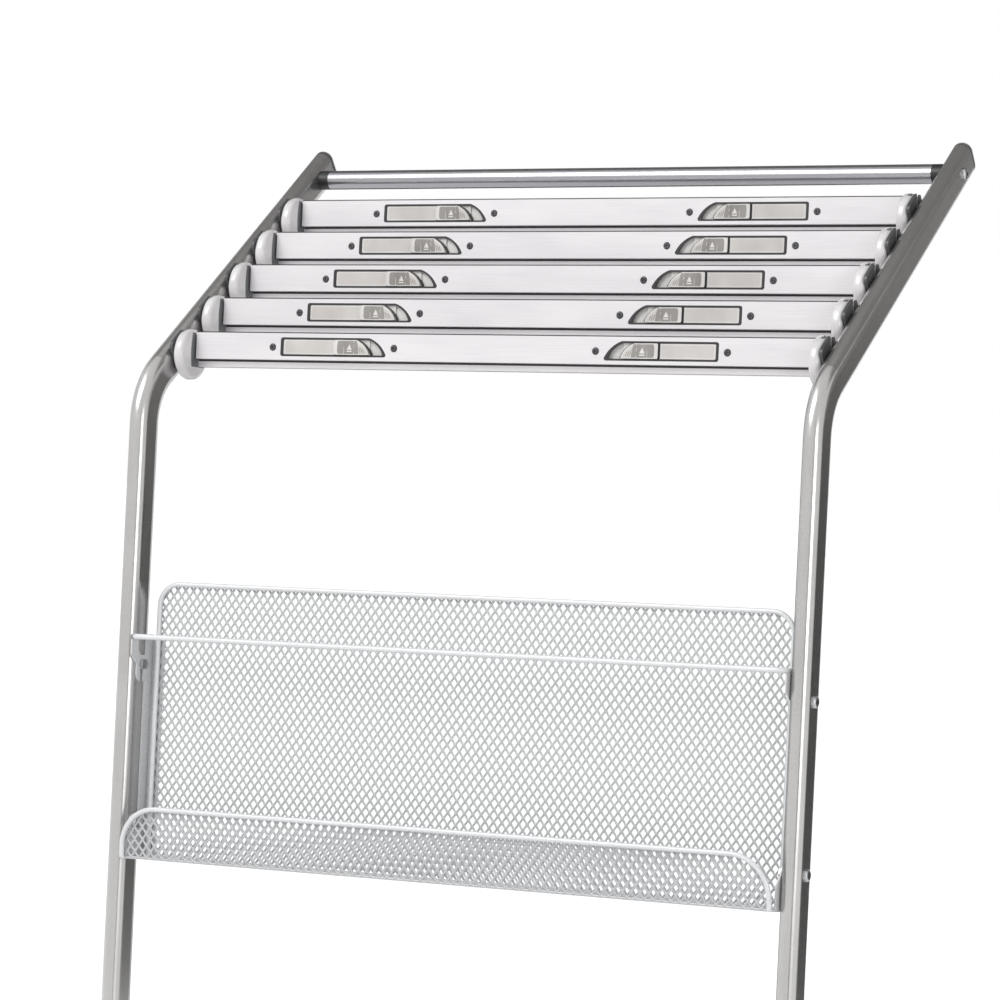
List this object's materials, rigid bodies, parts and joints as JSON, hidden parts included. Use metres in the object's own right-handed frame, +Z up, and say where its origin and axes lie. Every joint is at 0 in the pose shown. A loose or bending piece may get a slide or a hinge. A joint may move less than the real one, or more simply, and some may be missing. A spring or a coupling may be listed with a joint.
{
  "type": "periodical display rack",
  "caption": "Freestanding rack of bent flat-oval tube: newspaper clamps lie in steps across a sloping head, above an expanded-mesh magazine tray between the posts",
  "frame": {"origin": "on the floor, in the middle of the rack's width and of its overall depth", "axes": "+X to the rack's right as seen from the front, +Y to the back, +Z up"},
  "size_m": [0.774, 0.5444, 1.1674],
  "materials": {
    "silver_paint": "silver-grey powder coat, satin",
    "grey_plastic": "grey moulded plug",
    "black_plastic": "black moulded plastic",
    "bright_tube": "bright plated round tube",
    "satin_aluminium": "satin anodised extrusion",
    "light_grey_plastic": "light grey moulded plastic, semi-gloss",
    "silver_plastic": "silver-grey moulded slide",
    "white_mesh": "pale silver coated expanded metal and wire",
    "bracket_paint": "pale silver-grey coated steel strip",
    "zinc_steel": "zinc-plated fastener",
    "black_steel": "black-oxide pan-head screw"
  },
  "bodies": {
    "stand": {"left_post": "silver_paint", "right_post": "silver_paint", "post_caps": "grey_plastic", "left_foot": "silver_paint", "right_foot": "silver_paint", "foot_plugs": "black_plastic", "foot_glides": "black_plastic", "top_cross_tube": "bright_tube", "lower_cross_tube": "bright_tube", "cross_tube_collars": "black_plastic", "cross_tube_bolts": "zinc_steel", "clamp_saddles": "black_plastic", "tray_panel": "white_mesh", "tray_panel_rim": "white_mesh", "tray_floor": "white_mesh", "tray_lip": "white_mesh", "tray_lip_rim": "white_mesh", "guard_rail": "white_mesh", "left_tray_bracket": "bracket_paint", "right_tray_bracket": "bracket_paint", "tray_bolts": "zinc_steel", "tray_nuts": "zinc_steel"},
    "clamp_1_back": {"clamp_1_rear_bar": "satin_aluminium", "clamp_1_end_caps": "light_grey_plastic"},
    "clamp_1_front": {"clamp_1_face_bar": "satin_aluminium", "clamp_1_latch_keepers": "black_plastic", "clamp_1_latch_screws": "black_steel"},
    "clamp_1_left_latch": {"clamp_1_left_slide": "silver_plastic"},
    "clamp_1_right_latch": {"clamp_1_right_slide": "silver_plastic"},
    "clamp_2_back": {"clamp_2_rear_bar": "satin_aluminium", "clamp_2_end_caps": "light_grey_plastic"},
    "clamp_2_front": {"clamp_2_face_bar": "satin_aluminium", "clamp_2_latch_keepers": "black_plastic", "clamp_2_latch_screws": "black_steel"},
    "clamp_2_left_latch": {"clamp_2_left_slide": "silver_plastic"},
    "clamp_2_right_latch": {"clamp_2_right_slide": "silver_plastic"},
    "clamp_3_back": {"clamp_3_rear_bar": "satin_aluminium", "clamp_3_end_caps": "light_grey_plastic"},
    "clamp_3_front": {"clamp_3_face_bar": "satin_aluminium", "clamp_3_latch_keepers": "black_plastic", "clamp_3_latch_screws": "black_steel"},
    "clamp_3_left_latch": {"clamp_3_left_slide": "silver_plastic"},
    "clamp_3_right_latch": {"clamp_3_right_slide": "silver_plastic"},
    "clamp_4_back": {"clamp_4_rear_bar": "satin_aluminium", "clamp_4_end_caps": "light_grey_plastic"},
    "clamp_4_front": {"clamp_4_face_bar": "satin_aluminium", "clamp_4_latch_keepers": "black_plastic", "clamp_4_latch_screws": "black_steel"},
    "clamp_4_left_latch": {"clamp_4_left_slide": "silver_plastic"},
    "clamp_4_right_latch": {"clamp_4_right_slide": "silver_plastic"},
    "clamp_5_back": {"clamp_5_rear_bar": "satin_aluminium", "clamp_5_end_caps": "light_grey_plastic"},
    "clamp_5_front": {"clamp_5_face_bar": "satin_aluminium", "clamp_5_latch_keepers": "black_plastic", "clamp_5_latch_screws": "black_steel"},
    "clamp_5_left_latch": {"clamp_5_left_slide": "silver_plastic"},
    "clamp_5_right_latch": {"clamp_5_right_slide": "silver_plastic"}
  },
  "joints": [
    {"name": "clamp_1_lift", "type": "slide", "parent": "stand", "child": "clamp_1_back", "axis": [0, 0, 1], "range_m": [0, 0.06]},
    {"name": "clamp_1_open", "type": "hinge", "parent": "clamp_1_back", "child": "clamp_1_front", "pos_m": [0, 0.16831, 1.11126], "axis": [-1, 0, 0], "range_deg": [0, 35]},
    {"name": "clamp_1_left_unlatch", "type": "slide", "parent": "clamp_1_front", "child": "clamp_1_left_latch", "axis": [1, 0, 0], "range_m": [0, 0.012]},
    {"name": "clamp_1_right_unlatch", "type": "slide", "parent": "clamp_1_front", "child": "clamp_1_right_latch", "axis": [-1, 0, 0], "range_m": [0, 0.012]},
    {"name": "clamp_2_lift", "type": "slide", "parent": "stand", "child": "clamp_2_back", "axis": [0, 0, 1], "range_m": [0, 0.06]},
    {"name": "clamp_2_open", "type": "hinge", "parent": "clamp_2_back", "child": "clamp_2_front", "pos_m": [0, 0.11543, 1.07757], "axis": [-1, 0, 0], "range_deg": [0, 35]},
    {"name": "clamp_2_left_unlatch", "type": "slide", "parent": "clamp_2_front", "child": "clamp_2_left_latch", "axis": [1, 0, 0], "range_m": [0, 0.012]},
    {"name": "clamp_2_right_unlatch", "type": "slide", "parent": "clamp_2_front", "child": "clamp_2_right_latch", "axis": [-1, 0, 0], "range_m": [0, 0.012]},
    {"name": "clamp_3_lift", "type": "slide", "parent": "stand", "child": "clamp_3_back", "axis": [0, 0, 1], "range_m": [0, 0.06]},
    {"name": "clamp_3_open", "type": "hinge", "parent": "clamp_3_back", "child": "clamp_3_front", "pos_m": [0, 0.06255, 1.04388], "axis": [-1, 0, 0], "range_deg": [0, 35]},
    {"name": "clamp_3_left_unlatch", "type": "slide", "parent": "clamp_3_front", "child": "clamp_3_left_latch", "axis": [1, 0, 0], "range_m": [0, 0.012]},
    {"name": "clamp_3_right_unlatch", "type": "slide", "parent": "clamp_3_front", "child": "clamp_3_right_latch", "axis": [-1, 0, 0], "range_m": [0, 0.012]},
    {"name": "clamp_4_lift", "type": "slide", "parent": "stand", "child": "clamp_4_back", "axis": [0, 0, 1], "range_m": [0, 0.06]},
    {"name": "clamp_4_open", "type": "hinge", "parent": "clamp_4_back", "child": "clamp_4_front", "pos_m": [0, 0.00966, 1.01019], "axis": [-1, 0, 0], "range_deg": [0, 35]},
    {"name": "clamp_4_left_unlatch", "type": "slide", "parent": "clamp_4_front", "child": "clamp_4_left_latch", "axis": [1, 0, 0], "range_m": [0, 0.012]},
    {"name": "clamp_4_right_unlatch", "type": "slide", "parent": "clamp_4_front", "child": "clamp_4_right_latch", "axis": [-1, 0, 0], "range_m": [0, 0.012]},
    {"name": "clamp_5_lift", "type": "slide", "parent": "stand", "child": "clamp_5_back", "axis": [0, 0, 1], "range_m": [0, 0.06]},
    {"name": "clamp_5_open", "type": "hinge", "parent": "clamp_5_back", "child": "clamp_5_front", "pos_m": [0, -0.04322, 0.9765], "axis": [-1, 0, 0], "range_deg": [0, 35]},
    {"name": "clamp_5_left_unlatch", "type": "slide", "parent": "clamp_5_front", "child": "clamp_5_left_latch", "axis": [1, 0, 0], "range_m": [0, 0.012]},
    {"name": "clamp_5_right_unlatch", "type": "slide", "parent": "clamp_5_front", "child": "clamp_5_right_latch", "axis": [-1, 0, 0], "range_m": [0, 0.012]}
  ]
}
